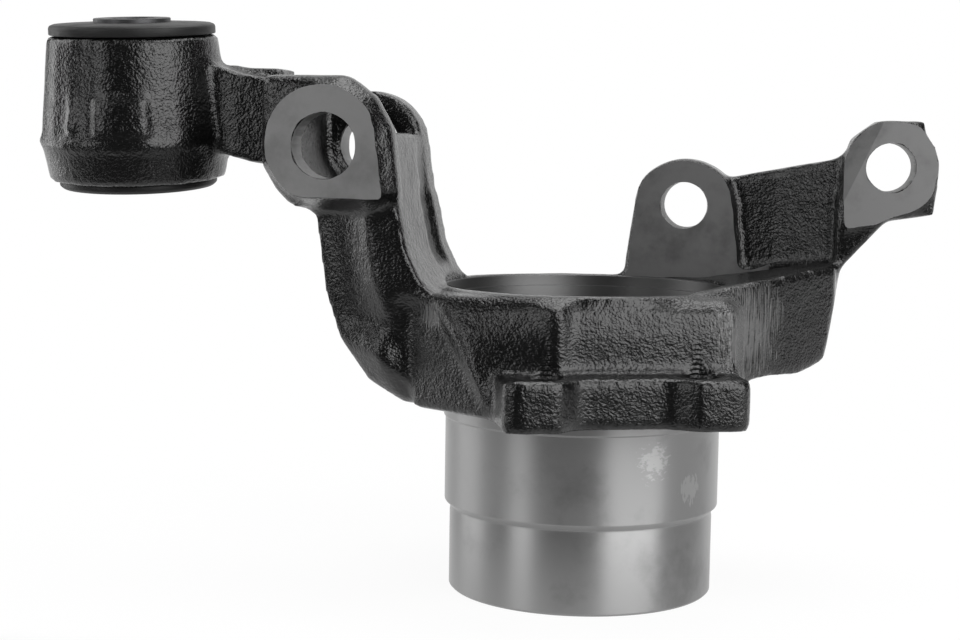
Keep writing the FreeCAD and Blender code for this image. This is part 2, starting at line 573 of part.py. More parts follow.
    # Pocket between the fork ears, round at its floor and open at the top.
    slot = new_sketch(body, "pocket_outline", "XZ_Plane",
                      base=("0", "0", "0 - fork_face_y - near_ear_thickness"))
    circle(slot, "fork_x", "fork_z", "pocket_radius")
    pocket(body, "fork_pocket_floor", slot, "fork_gap")
    mouth = new_sketch(body, "pocket_mouth", "XZ_Plane",
                       base=("0", "0", "0 - fork_face_y - near_ear_thickness"))
    outline(mouth, [("fork_x - pocket_radius", "fork_z"), ("fork_x + pocket_radius", "fork_z"),
                    ("fork_x + pocket_radius", "fork_z + 40"), ("fork_x - pocket_radius", "fork_z + 40")])
    pocket(body, "fork_pocket_mouth", mouth, "fork_gap")

    # Hub bores.
    bores = new_sketch(body, "hub_bores", "XZ_Plane")
    outline(bores, [
        ("0", "-1"), ("seat_bore_radius + bore_bevel + 1", "-1"), ("seat_bore_radius", "bore_bevel"),
        ("seat_bore_radius", "recess_floor - clip_groove_gap - clip_groove_width"),
        ("seat_bore_radius + clip_groove_depth", "recess_floor - clip_groove_gap - clip_groove_width"),
        ("seat_bore_radius + clip_groove_depth", "recess_floor - clip_groove_gap"),
        ("seat_bore_radius", "recess_floor - clip_groove_gap"),
        ("seat_bore_radius", "recess_floor - bore_bevel"),
        ("seat_bore_radius + bore_bevel", "recess_floor"), ("recess_radius", "recess_floor"),
        ("recess_radius", "ring_height - mouth_depth"), ("mouth_radius", "ring_height - mouth_depth"),
        ("mouth_radius", "ring_height + 12"), ("0", "ring_height + 12")])
    revolve(body, "hub_bore", bores, "PartDesign::Groove")

    # Machined bores, each through its ears.
    fork_bore = new_sketch(body, "fork_bore_circle", "XZ_Plane", base=("0", "0", "0 - fork_face_y + 1"))
    circle(fork_bore, "fork_x", "fork_z", "fork_bore_radius")
    pocket(body, "fork_bore", fork_bore,
           "near_ear_thickness + fork_gap + far_ear_thickness + 2")
    left_bore = new_sketch(body, "left_bore_circle", "XZ_Plane", base=("0", "0", "0 - left_ear_y + 1"))
    circle(left_bore, "left_ear_x", "left_ear_z", "link_bore_radius")
    pocket(body, "left_bore", left_bore, "link_ear_thickness + 12")
    right_bore = new_sketch(body, "right_bore_circle", "XZ_Plane",
                            base=("right_ear_x", "right_ear_z", "0 - right_ear_y + 1"), **seat)
    circle(right_bore, "0", "0", "link_bore_radius")
    pocket(body, "right_bore", right_bore, "link_ear_thickness + 12")
    eye_bore = new_sketch(body, "eye_bore_profile", "XZ_Plane", base=("eye_x", "eye_z", "0 - eye_y"),
                          axis=(1, 0, 0), angle="eye_lean")
    outline(eye_bore, [("0", "0 - eye_drop - 5"), ("sleeve_radius", "0 - eye_drop - 5"),
                       ("sleeve_radius", "eye_rise + 5"), ("0", "eye_rise + 5")])
    revolve(body, "eye_bore", eye_bore, "PartDesign::Groove")

    # Tapped holes in the flange, all four from below.
    for name, turn in (("front", "flange_turn"), ("back", "flange_turn + 180")):
        holes = new_sketch(body, name + "_bolt_circles", "XY_Plane",
                           base=("0", "0", "flange_height - 1"), angle=turn)
        circle(holes, "bolt_half_spacing", "0 - bolt_reach", "tapped_radius")
        circle(holes, "0 - bolt_half_spacing", "0 - bolt_reach", "tapped_radius")
        pocket(body, name + "_tapped_holes", holes, "flange_thickness + 14", reverse=True)
    return body


def make_bush():
    place = dict(base=("eye_x", "eye_z", "0 - eye_y"), axis=(1, 0, 0), angle="eye_lean")
    outer = new_body("bush_outer_sleeve")
    ring = new_sketch(outer, "outer_sleeve_profile", "XZ_Plane", **place)
    outline(ring, [
        ("sleeve_radius - sleeve_wall", "0 - eye_drop"), ("sleeve_radius", "0 - eye_drop"),
        ("sleeve_radius", "eye_rise"), ("sleeve_radius - sleeve_wall", "eye_rise")])
    revolve(outer, "outer_sleeve", ring)

    rubber = new_body("bush_rubber")
    block = new_sketch(rubber, "rubber_profile", "XZ_Plane", **place)
    outline(block, [
        ("core_radius", "0 - eye_drop - lip_height"), ("lip_radius - 1.0", "0 - eye_drop - lip_height"),
        ("lip_radius", "0 - eye_drop - lip_height + 1.0"), ("lip_radius", "0 - eye_drop"),
        ("sleeve_radius - sleeve_wall", "0 - eye_drop"), ("sleeve_radius - sleeve_wall", "eye_rise"),
        ("cap_radius", "eye_rise"), ("cap_radius - 0.4", "eye_rise + cap_height - 1.0"),
        ("cap_radius - 1.4", "eye_rise + cap_height"),
        ("core_radius", "eye_rise + cap_height + cap_crown")])
    revolve(rubber, "rubber", block)

    core = new_body("bush_inner_sleeve")
    tube = new_sketch(core, "inner_sleeve_profile", "XZ_Plane", **place)
    outline(tube, [
        ("core_bore_radius", "0 - eye_drop - lip_height - core_stand"),
        ("core_radius", "0 - eye_drop - lip_height - core_stand"),
        ("core_radius", "eye_rise + cap_height + cap_crown + core_stand"),
        ("core_bore_radius", "eye_rise + cap_height + cap_crown + core_stand")])
    revolve(core, "inner_sleeve", tube)
    return [outer, rubber, core]


def check_and_write(bodies):
    doc.recompute()
    for item in doc.Objects:
        if "Invalid" in item.State or "Error" in item.State:
            raise RuntimeError("failed object: " + item.Name)
    os.makedirs("parts", exist_ok=True)
    for body in bodies:
        shape = body.Shape
        if shape.isNull() or not shape.isValid() or len(shape.Solids) != 1:
            raise RuntimeError("bad shape: %s with %d solids" % (body.Label, len(shape.Solids)))
        print(body.Label, "volume", round(shape.Volume / 1000, 1), "cm3", shape.BoundBox)
    for body in bodies:
        body.Shape.exportStep("parts/%s.step" % body.Label)


check_and_write([make_casting()] + make_bush())
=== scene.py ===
"""Steering knuckle: a black painted iron casting with a turned barrel, milled ears and a rubber bush.

Lengths are written in millimetres and turned to metres where a mesh is made.
Z is the hub axis and rises from the barrel's lower end. X runs from the bushed eye to the link ears.
"""
import math

import bpy
from mathutils import Matrix, Vector


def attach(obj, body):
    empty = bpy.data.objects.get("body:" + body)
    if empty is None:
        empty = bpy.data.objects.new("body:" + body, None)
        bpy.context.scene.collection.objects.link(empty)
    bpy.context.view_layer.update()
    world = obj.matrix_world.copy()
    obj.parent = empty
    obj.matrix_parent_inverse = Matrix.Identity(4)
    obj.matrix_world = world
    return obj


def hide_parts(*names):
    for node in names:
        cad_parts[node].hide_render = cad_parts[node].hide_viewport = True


MM = 0.001

# Turned hub, from the hub axis: radii and heights.
BARREL_RADIUS = 43.0
SEAT_RADIUS = 44.75
COLLAR_RADIUS = 45.3
SHOULDER_HEIGHT = 28.3
SHOULDER_TOP = 31.5
COLLAR_HEIGHT = 56.2
FLANGE_HEIGHT = 61.0
RING_HEIGHT = 99.5
MOUTH_RADIUS = 45.0
MOUTH_DEPTH = 4.0
RECESS_RADIUS = 44.0
RECESS_FLOOR = 66.0
SEAT_BORE_RADIUS = 36.0
CLIP_GROOVE_RADIUS = 37.6
CLIP_GROOVE_TOP = 63.5
CLIP_GROOVE_FOOT = 61.3
RELIEF_DEPTH = 0.2
HUB_ROOT_RADIUS = 47.2

# Tapped holes of the flange, turned about the hub axis.
FLANGE_TURN = math.radians(20.5)
BOLT_HALF_SPACING = 24.0
BOLT_REACH = 55.5
THREAD_PITCH = 1.5
THREAD_ROOT = 4.0
THREAD_CREST = 4.55
THREAD_TOP = 87.0

# Eye and bush, on an axis that leans to the front.
EYE_PLACE = Vector((-149.7, -12.0, 144.0))
EYE_LEAN = math.radians(6.0)
EYE_AXIS = Vector((0.0, -math.sin(EYE_LEAN), math.cos(EYE_LEAN)))
EYE_RISE = 34.7
EYE_DROP = 12.4
SLEEVE_RADIUS = 25.0
CORE_RADIUS = 12.6
CORE_BORE_RADIUS = 7.1

# How the eye is slimmed from the solid's form, and how deep its square pad stands out.
EYE_SHRINK = 0.945
EYE_TAPER_UP = 0.0013
EYE_TAPER_DOWN = 0.0006
EYE_STRETCH_UP = 1.064
EYE_STRETCH_DOWN = 0.816
EYE_LIMIT = 31.2
EYE_LIMIT_TAPER = 0.11
OLD_PAD_DEPTH = 0.6
PAD_DEPTH = 1.7

# Machined faces and bores of the ears.
FORK_BORE = Vector((-74.2, -50.0, 143.3))
FORK_BORE_RADIUS = 10.1
FORK_DEPTH = 67.0
LEFT_BORE = Vector((27.5, 45.0, 124.2))
RIGHT_BORE = Vector((96.8, 27.0, 138.6))
RIGHT_TURN = math.radians(6.0)
LINK_BORE_RADIUS = 8.0
MILLING_ALLOWANCE = 1.0

# Neck, as its front and its outer side run up to the fork: heights and places across.
NECK_FRONT = -43.0
NECK_DEPTH = 9.5
NECK_RIDGE = [(78.0, -47.0), (90.0, -53.7), (101.0, -59.2), (119.0, -62.0), (128.0, -62.5)]
NECK_SIDE = [(69.5, -63.5), (83.0, -73.5), (97.0, -78.0), (118.0, -81.0), (128.0, -81.0)]

# Crease from the foot of the neck to the left lobe: a point on it (X, Z), the way across it, its depth.
CREASE_SPOT = (-41.0, 97.0)
CREASE_ACROSS = (0.826, 0.566)
CREASE_DEPTH = 2.8

# Ring wall above the left lobe: its front, where it starts to turn back, by how much, and the metal added.
WALL_FRONT = -56.4
WALL_END = -2.0
WALL_SLOPE = 0.42
WALL_FILL = 9.0

# How far the block's lower right corner and the left ear's top come down.
CORNER_DROP = 5.6
EAR_DROP = 1.1

# Sizes of the cast skin: the grid it is built on, and its slow waves.
SKIN_GRID = 1.3
SKIN_WAVE_SIZE = 0.009
SKIN_WAVE_HEIGHT = 0.25

# Marks on the surface: centre and reach in metres, how fine the streaks are, and how sparse.
RUBBED_NECK = {"X": -0.0412, "Y": -0.046, "Z": 0.092, "Reach": 0.007,
               "Level": 1700.0, "Upright": 90.0, "Edge": 0.66}
BRUSHED_BLOCK = {"X": 0.064, "Y": -0.026, "Z": 0.089, "Reach": 0.024,
                 "Level": 2400.0, "Upright": 110.0, "Edge": 0.55}
SCUFF_HIGH = {"X": 0.028, "Y": -0.0349, "Z": 0.048, "Reach": 0.009,
              "Level": 500.0, "Upright": 900.0, "Edge": 0.72}
SCUFF_LOW = {"X": 0.038, "Y": -0.0237, "Z": 0.038, "Reach": 0.006,
             "Level": 900.0, "Upright": 350.0, "Edge": 0.62}

# Stage: the floor's size, and the point that the lamps are aimed at, in metres.
FLOOR_SIZE = 6.0
KNUCKLE = (-0.02, 0.0, 0.09)

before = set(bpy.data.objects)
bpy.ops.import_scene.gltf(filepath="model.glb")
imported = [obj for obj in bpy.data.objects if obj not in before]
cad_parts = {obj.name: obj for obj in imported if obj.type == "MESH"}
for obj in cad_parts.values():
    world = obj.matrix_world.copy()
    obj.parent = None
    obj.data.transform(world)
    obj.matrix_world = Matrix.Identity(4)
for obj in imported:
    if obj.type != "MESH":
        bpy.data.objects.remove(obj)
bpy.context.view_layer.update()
bpy.ops.object.select_all(action="DESELECT")


# Making of pieces

def pick(piece):
    """Makes a piece the only one that the next steps work on."""
    bpy.ops.object.select_all(action="DESELECT")
    piece.select_set(True)
    bpy.context.view_layer.objects.active = piece


def finish_modifier(piece, kind, **values):
    """Adds a modifier to a piece and applies it at once."""
    pick(piece)
    modifier = piece.modifiers.new(kind.lower(), kind)
    for name, value in values.items():
        setattr(modifier, name, value)
    bpy.ops.object.modifier_apply(modifier=modifier.name)


def turn_outline(name, corners, facets, fill_type):
    """Extrudes a circle about Z from corner to corner of an outline, and stays in edit mode."""
    radius, height = corners[0]
    bpy.ops.mesh.primitive_circle_add(vertices=facets, radius=radius * MM, fill_type=fill_type,
                                      location=(0, 0, height * MM))
    turned = bpy.context.object
    turned.name = name
    bpy.ops.object.transform_apply(location=True)
    bpy.ops.object.mode_set(mode="EDIT")
    bpy.ops.mesh.select_all(action="SELECT")
    for next_radius, next_height in corners[1:]:
        step = (0, 0, (next_height - height) * MM)
        bpy.ops.mesh.extrude_region_move(TRANSFORM_OT_translate={"value": step})
        grow = next_radius / radius
        bpy.ops.transform.resize(value=(grow, grow, 1), center_override=(0, 0, 0))
        radius, height = next_radius, next_height
    bpy.ops.mesh.select_all(action="SELECT")
    return turned


def turned_blank(name, corners, facets):
    """A solid of revolution about Z, closed by a disc at each end of its outline."""
    blank = turn_outline(name, corners, facets, "NGON")
    bpy.ops.mesh.normals_make_consistent(inside=False)
    bpy.ops.object.mode_set(mode="OBJECT")
    return blank


def turned_ring(name, corners, facets):
    """A ring about Z, whose outline comes back to its first corner."""
    ring = turn_outline(name, corners + corners[:1], facets, "NOTHING")
    bpy.ops.mesh.remove_doubles(threshold=0.000002)
    bpy.ops.mesh.normals_make_consistent(inside=False)
    bpy.ops.object.mode_set(mode="OBJECT")
    return ring


def soften(piece, width):
    """Bevels the sharp edges of a piece and smooths its shading between those that stay sharp."""
    finish_modifier(piece, "BEVEL", width=width * MM, segments=2, limit_method="ANGLE",
                    angle_limit=math.radians(25), harden_normals=False)
    pick(piece)
    bpy.ops.object.shade_smooth_by_angle(angle=math.radians(30))


def place(piece, spot=(0, 0, 0), turns=()):
    """Turns a piece about the axes through zero, moves it, and keeps the result in its mesh."""
    matrix = Matrix.Translation(Vector(spot) * MM)
    for axis, angle in turns:
        matrix = matrix @ Matrix.Rotation(angle, 4, axis)
    piece.matrix_world = matrix
    pick(piece)
    bpy.ops.object.transform_apply(location=True, rotation=True, scale=True)


def cut(body, tool):
    """Takes a tool's shape out of a body; the cut faces keep the tool's material."""
    finish_modifier(body, "BOOLEAN", operation="DIFFERENCE", object=tool, solver="MANIFOLD",
                    material_mode="TRANSFER")
    bpy.data.objects.remove(tool)


# Patterns that several finishes share

def new_group(name, inputs, outputs):
    """An empty node group with named number sockets in and out, and its two end nodes."""
    group = bpy.data.node_groups.new(name, "ShaderNodeTree")
    for socket, value in inputs:
        made = group.interface.new_socket(name=socket, in_out="INPUT", socket_type="NodeSocketFloat")
        made.default_value = value
    for socket in outputs:
        group.interface.new_socket(name=socket, in_out="OUTPUT", socket_type="NodeSocketFloat")
    return group, group.nodes.new("NodeGroupInput"), group.nodes.new("NodeGroupOutput")


def feed(tree, socket, value):
    """Gives a socket a number, or joins it to the socket that its value comes from."""
    if isinstance(value, (int, float)):
        socket.default_value = value
    else:
        tree.links.new(value, socket)


def object_spot(tree):
    """The place on the knuckle that is being shaded, in metres."""
    return tree.nodes.new("ShaderNodeTexCoord").outputs["Object"]


def math_node(tree, kind, first, second):
    """The sum, product or the like of two numbers."""
    node = tree.nodes.new("ShaderNodeMath")
    node.operation = kind
    feed(tree, node.inputs[0], first)
    feed(tree, node.inputs[1], second)
    return node.outputs[0]


def vector_node(tree, kind, *values):
    """The product, distance or length of places."""
    node = tree.nodes.new("ShaderNodeVectorMath")
    node.operation = kind
    for socket, value in zip(node.inputs, values):
        tree.links.new(value, socket)
    return node


def slope_node(tree, value, low, high, start, end):
    """A number that eases from its start, up to the low value, to its end, from the high value on."""
    ramp = tree.nodes.new("ShaderNodeMapRange")
    ramp.interpolation_type = "SMOOTHSTEP"
    for index, number in enumerate((value, low, high, start, end)):
        feed(tree, ramp.inputs[index], number)
    return ramp.outputs[0]


def noise_node(tree, vector, scale, detail, roughness=0.5, distortion=0.0):
    """Smooth noise between 0 and 1."""
    node = tree.nodes.new("ShaderNodeTexNoise")
    node.inputs["Detail"].default_value = detail
    node.inputs["Roughness"].default_value = roughness
    node.inputs["Distortion"].default_value = distortion
    tree.links.new(vector, node.inputs["Vector"])
    feed(tree, node.inputs["Scale"], scale)
    return node.outputs["Fac"]


def stretched_noise(tree, given, scale_names):
    """Noise drawn out into streaks, with a scale from a named socket for each axis."""
    stretch = tree.nodes.new("ShaderNodeCombineXYZ")
    for index, name in enumerate(scale_names):
        tree.links.new(given.outputs[name], stretch.inputs[index])
    scaled = vector_node(tree, "MULTIPLY", object_spot(tree), stretch.outputs[0])
    return noise_node(tree, scaled.outputs[0], 1.0, 3.0, roughness=0.6)


def make_sand_grain():
    """Height of a sand-cast skin: pebbles under a millimetre wide, over slow swells."""
    group, given, result = new_group(
        "sand_grain", [("Pebble Scale", 520.0), ("Swell Scale", 140.0), ("Swell Share", 0.5)], ["Height"])
    spot = object_spot(group)
    pebbles = noise_node(group, spot, given.outputs["Pebble Scale"], 2.0, roughness=0.45, distortion=0.2)
    swells = noise_node(group, spot, given.outputs["Swell Scale"], 1.0)
    share = math_node(group, "MULTIPLY", swells, given.outputs["Swell Share"])
    group.links.new(math_node(group, "ADD", pebbles, share), result.inputs["Height"])
    return group


def make_tool_lines():
    """Height of fine tool lines: noise that is drawn out along the tool's way."""
    group, given, result = new_group(
        "tool_lines", [("Across", 60.0), ("Along", 60.0), ("Upright", 9000.0)], ["Height"])
    group.links.new(stretched_noise(group, given, ("Across", "Along", "Upright")), result.inputs["Height"])
    return group


def make_stains():
    """A mask of cloudy patches, as on bare iron that has been handled and oiled."""
    group, given, result = new_group(
        "stains", [("Scale", 60.0), ("Edge", 0.55), ("Width", 0.12)], ["Mask"])
    cloud = noise_node(group, object_spot(group), given.outputs["Scale"], 5.0, roughness=0.62)
    top = math_node(group, "ADD", given.outputs["Edge"], given.outputs["Width"])
    group.links.new(slope_node(group, cloud, given.outputs["Edge"], top, 0.0, 1.0), result.inputs["Mask"])
    return group


def make_scuff():
    """A mask of broken streaks inside a ball of space, with its centre and reach in metres."""
    group, given, result = new_group(
        "scuff", [("X", 0.0), ("Y", 0.0), ("Z", 0.0), ("Reach", 0.005), ("Level", 900.0),
                  ("Upright", 900.0), ("Edge", 0.5)], ["Mask"])
    centre = group.nodes.new("ShaderNodeCombineXYZ")
    for index, name in enumerate("XYZ"):
        group.links.new(given.outputs[name], centre.inputs[index])
    gap = vector_node(group, "DISTANCE", object_spot(group), centre.outputs[0])
    marks = stretched_noise(group, given, ("Level", "Level", "Upright"))
    away = math_node(group, "DIVIDE", gap.outputs["Value"], given.outputs["Reach"])
    near = math_node(group, "MAXIMUM", math_node(group, "SUBTRACT", 1.0, away), 0.0)
    near = math_node(group, "MULTIPLY", near, 0.5)
    marks = math_node(group, "ADD", marks, near)
    over = math_node(group, "MAXIMUM", math_node(group, "SUBTRACT", marks, given.outputs["Edge"]), 0.0)
    sharp = math_node(group, "MINIMUM", math_node(group, "MULTIPLY", over, 8.0), 1.0)
    inside = math_node(group, "GREATER_THAN", near, 0.0)
    group.links.new(math_node(group, "MULTIPLY", sharp, inside), result.inputs["Mask"])
    return group


SAND_GRAIN = make_sand_grain()
SCUFF = make_scuff()
TOOL_LINES = make_tool_lines()
STAINS = make_stains()


def add_group(tree, group, **values):
    """Puts a shared pattern into a finish, sets its numbers and gives its one output."""
    node = tree.nodes.new("ShaderNodeGroup")
    node.node_tree = group
    for name, value in values.items():
        node.inputs[name.replace("_", " ")].default_value = value
    return node.outputs[0]


def new_finish(name, color, metallic, roughness, specular=0.5):
    """A new material with its node tree and its shader."""
    material = bpy.data.materials.new(name)
    material.use_nodes = True
    shader = material.node_tree.nodes["Principled BSDF"]
    shader.inputs["Base Color"].default_value = (*color, 1)
    shader.inputs["Metallic"].default_value = metallic
    shader.inputs["Roughness"].default_value = roughness
    shader.inputs["Specular IOR Level"].default_value = specular
    material.diffuse_color = (*color, 1)
    return material, material.node_tree, shader


def add_bump(tree, shader, height, distance):
    """Lets a pattern's height tilt the surface; the distance is in millimetres."""
    bump = tree.nodes.new("ShaderNodeBump")
    bump.inputs["Strength"].default_value = 1.0
    bump.inputs["Distance"].default_value = distance * MM
    tree.links.new(height, bump.inputs["Height"])
    tree.links.new(bump.outputs["Normal"], shader.inputs["Normal"])


def blend(tree, target, factor, low, high):
    """Feeds a number socket with a value that goes from low to high with a mask."""
    mix = tree.nodes.new("ShaderNodeMix")
    mix.inputs[2].default_value = low
    mix.inputs[3].default_value = high
    tree.links.new(factor, mix.inputs[0])
    tree.links.new(mix.outputs[0], target)


def tint(tree, target, factor, low, high):
    """Feeds a colour socket with a grey that goes from low to high with a mask."""
    mix = tree.nodes.new("ShaderNodeMix")
    mix.data_type = "RGBA"
    mix.inputs[6].default_value = (low, low, low, 1)
    mix.inputs[7].default_value = (high, high, high, 1)
    tree.links.new(factor, mix.inputs[0])
    tree.links.new(mix.outputs[2], target)


def turn_streaks(tree, shader, amount):
    """Draws highlights out up and down, across tool lines that run round the hub."""
    shader.inputs["Anisotropic"].default_value = amount
    shader.inputs["Anisotropic Rotation"].default_value = 0.25
    tangent = tree.nodes.new("ShaderNodeTangent")
    tangent.direction_type = "RADIAL"
    tangent.axis = "Z"
    tree.links.new(tangent.outputs[0], shader.inputs["Tangent"])


def make_paint():
    """Glossy black paint over the pebbles of the casting, rubbed on the neck and brushed on the block."""
    material, tree, shader = new_finish("black_paint", (0.003, 0.003, 0.003), 0.0, 0.27, specular=0.46)
    grain = add_group(tree, SAND_GRAIN, Pebble_Scale=1350.0, Swell_Scale=500.0, Swell_Share=0.9)
    add_bump(tree, shader, grain, 0.25)
    rubbed = add_group(tree, SCUFF, **RUBBED_NECK)
    brushed = math_node(tree, "MULTIPLY", add_group(tree, SCUFF, **BRUSHED_BLOCK), 0.8)
    tint(tree, shader.inputs["Base Color"], math_node(tree, "MAXIMUM", rubbed, brushed), 0.003, 0.1)
    stains = add_group(tree, STAINS, Scale=45.0, Edge=0.45, Width=0.3)
    blend(tree, shader.inputs["Roughness"], stains, 0.18, 0.26)
    return material


def make_milled_iron():
    """Bare iron, milled flat, with fine tool lines and faint stains, painted shade on the link ears and
    painted light on part of the right ear.
    """
    material, tree, shader = new_finish("milled_iron", (0.2, 0.2, 0.2), 0.75, 0.5)
    lines = add_group(tree, TOOL_LINES, Across=2600.0, Along=400.0, Upright=1300.0)
    add_bump(tree, shader, lines, 0.008)
    split = tree.nodes.new("ShaderNodeSeparateXYZ")
    tree.links.new(object_spot(tree), split.inputs[0])
    stains = add_group(tree, STAINS, Scale=55.0, Edge=0.42, Width=0.3)
    stained = math_node(tree, "MULTIPLY", stains, 0.42)
    # Painted shade: the base colour darkens from the fork towards the link ears, most on the right ear.
    left_ear_shade = slope_node(tree, split.outputs["X"], -0.04, 0.0, 0.0, 0.5)
    right_ear_shade = slope_node(tree, split.outputs["X"], 0.05, 0.075, 0.0, 0.27)
    ear_shade = math_node(tree, "ADD", left_ear_shade, right_ear_shade)
    # Painted light: past a slanting line the right ear's face is made lighter, as a better lit facet.
    tilt = math_node(tree, "MULTIPLY", split.outputs["Z"], -0.46)
    lit_facet_edge = math_node(tree, "ADD", split.outputs["X"], tilt)
    lit_facet_light = slope_node(tree, lit_facet_edge, 0.0231, 0.0235, 0.0, -0.3)
    share = math_node(tree, "ADD", stained, math_node(tree, "ADD", ear_shade, lit_facet_light))
    # The mix holds the real stains together with the painted shade and painted light of the ears.
    tint(tree, shader.inputs["Base Color"], share, 0.26, 0.09)
    return material


def make_turned_iron():
    """Bright turned iron, with lines that run round the hub, faint clouds of stain and two scuffs."""
    material, tree, shader = new_finish("turned_iron", (0.27, 0.27, 0.27), 1.0, 0.4)
    lines = add_group(tree, TOOL_LINES, Across=30.0, Along=30.0, Upright=7000.0)
    add_bump(tree, shader, lines, 0.008)
    stains = add_group(tree, STAINS, Scale=38.0, Edge=0.5, Width=0.25)
    high = add_group(tree, SCUFF, **SCUFF_HIGH)
    low = add_group(tree, SCUFF, **SCUFF_LOW)
    worn = math_node(tree, "MAXIMUM", high, low)
    clean = math_node(tree, "SUBTRACT", 0.25, math_node(tree, "MULTIPLY", stains, 0.25))
    share = math_node(tree, "ADD", clean, math_node(tree, "MULTIPLY", worn, 0.3))
    tint(tree, shader.inputs["Base Color"], share, 0.21, 0.49)
    turn_streaks(tree, shader, 0.85)
    return material


def make_bored_iron():
    """Iron of the bearing bore and the recess, turned like the barrel, with a darker base colour."""
    material, tree, shader = new_finish("bored_iron", (0.1, 0.1, 0.1), 1.0, 0.48)
    add_bump(tree, shader, add_group(tree, TOOL_LINES, Across=20.0, Along=20.0, Upright=2600.0), 0.02)
    turn_streaks(tree, shader, 0.4)
    return material


def make_sleeve_steel():
    """Dark phosphated steel of the bush's sleeves."""
    material, tree, shader = new_finish("phosphated_steel", (0.05, 0.05, 0.052), 0.8, 0.5)
    add_bump(tree, shader, add_group(tree, TOOL_LINES, Across=200.0, Along=200.0, Upright=5000.0), 0.015)
    stains = add_group(tree, STAINS, Scale=120.0, Edge=0.45, Width=0.3)
    blend(tree, shader.inputs["Roughness"], stains, 0.45, 0.58)
    return material


def make_rubber():
    """Moulded black rubber with a dull, very finely grained skin."""
    material, tree, shader = new_finish("bush_rubber", (0.012, 0.012, 0.012), 0.0, 0.5, specular=0.25)
    grain = add_group(tree, SAND_GRAIN, Pebble_Scale=2600.0, Swell_Scale=260.0, Swell_Share=0.6)
    add_bump(tree, shader, grain, 0.03)
    stains = add_group(tree, STAINS, Scale=90.0, Edge=0.45, Width=0.3)
    blend(tree, shader.inputs["Roughness"], stains, 0.46, 0.6)
    return material


PAINT = make_paint()
MILLED = make_milled_iron()
TURNED = make_turned_iron()
BORED = make_bored_iron()
SLEEVE_STEEL = make_sleeve_steel()
RUBBER = make_rubber()


# The casting

def finish_of(piece, material):
    """Gives a whole piece one material."""
    piece.data.materials.clear()
    piece.data.materials.append(material)


def bore_tool(radius, depth, spot, turn):
    """A round cutter with a countersink, from a spot on a machined face into the ear."""
    tool = turned_blank("bore_tool", [(radius + 0.8, 0.8), (radius, 0.0), (radius, -depth)], 96)
    place(tool, spot, (("Z", turn), ("X", math.pi / 2)))
    finish_of(tool, MILLED)
    return tool


def thread_tool(side, half_turn):
    """A tapping cutter: a core as wide as the drill, with one ridge for every turn of the thread."""
    height = FLANGE_HEIGHT - 2.0
    corners = [(THREAD_ROOT, height)]
    while height < THREAD_TOP:
        corners.append((THREAD_CREST, height + THREAD_PITCH / 2))
        corners.append((THREAD_ROOT, height + THREAD_PITCH))
        height += THREAD_PITCH
    tool = turned_blank("thread_tool", corners, 40)
    angle = FLANGE_TURN + half_turn
    along = Vector((math.cos(angle), math.sin(angle), 0)) * BOLT_HALF_SPACING * side
    out = Vector((math.sin(angle), -math.cos(angle), 0)) * BOLT_REACH
    place(tool, along + out)
    finish_of(tool, PAINT)
    return tool


def face_tool(spot, turn, width):
    """A block that mills a face flat: its back is the finished face, and it stands in front of it."""
    bpy.ops.mesh.primitive_cube_add(size=1)
    tool = bpy.context.object
    tool.scale = (width * MM, 4 * MM, width * MM)
    bpy.ops.object.transform_apply(scale=True)
    tool.data.transform(Matrix.Translation((0, -2 * MM, 0)))
    place(tool, spot, (("Z", turn),))
    finish_of(tool, MILLED)
    return tool


def ease(value, low, high):
    """Nought up to the low value, one from the high value on, and a soft rise between them."""
    share = min(max((value - low) / (high - low), 0.0), 1.0)
    return share * share * (3.0 - 2.0 * share)


def band(value, rise, fall):
    """One between two soft edges, each a pair of values, and nought outside them."""
    return ease(value, *rise) * (1.0 - ease(value, *fall))


def read_off(table, height):
    """The value that a table of (height, value) pairs, from low to high, gives at a height."""
    for (low, first), (high, last) in zip(table, table[1:]):
        if height < high:
            return first + (last - first) * max(height - low, 0.0) / (high - low)
    return table[-1][1]


def slim_eye(spot):
    """The eye's slimmer taper, its longer upper part and the square pad on its front."""
    offset = spot - EYE_PLACE
    height = offset.dot(EYE_AXIS)
    side = offset - EYE_AXIS * height
    reach = side.length
    if reach > 39.0 or reach < 5.0 or abs(height) > 45.0:
        return spot
    slim = reach * (EYE_SHRINK - EYE_TAPER_UP * max(height, 0.0) - EYE_TAPER_DOWN * min(height, 0.0))
    bearing = math.degrees(math.atan2(side.x, -side.y))
    if height > 2.0 and bearing < 45.0:
        old_pad = OLD_PAD_DEPTH * band(bearing, (-40.0, -30.0), (-8.0, -2.0))
        slim = min(slim, EYE_LIMIT - EYE_LIMIT_TAPER * height - old_pad)
    pad = band(bearing, (-4.5, -2.0), (28.0, 30.5)) * band(height, (2.8, 4.2), (14.2, 15.6))
    slim += PAD_DEPTH * pad * ease(reach, 26.0, 29.0)
    rise = height * (EYE_STRETCH_UP if height > 0.0 else EYE_STRETCH_DOWN)
    hold = 1.0 - ease(reach, 34.0, 39.0)
    return spot.lerp(EYE_PLACE + EYE_AXIS * rise + side * (slim / reach), hold)


def set_neck_ridge(spot):
    """Sinks the neck's front to the left of its ridge, most at its outer side."""
    ridge = read_off(NECK_RIDGE, spot.z)
    if not (78.0 < spot.z < 128.0 and -84.0 < spot.x < -46.0 and spot.y < -30.0 and spot.x < ridge):
        return
    side = read_off(NECK_SIDE, spot.z)
    left = min(max((spot.x - side) / (ridge - side), 0.0), 1.0)
    front = NECK_FRONT + NECK_DEPTH * (1.0 - left * left)
    spot.y += max(front - spot.y, 0.0) * band(spot.z, (78.0, 90.0), (122.0, 128.0))


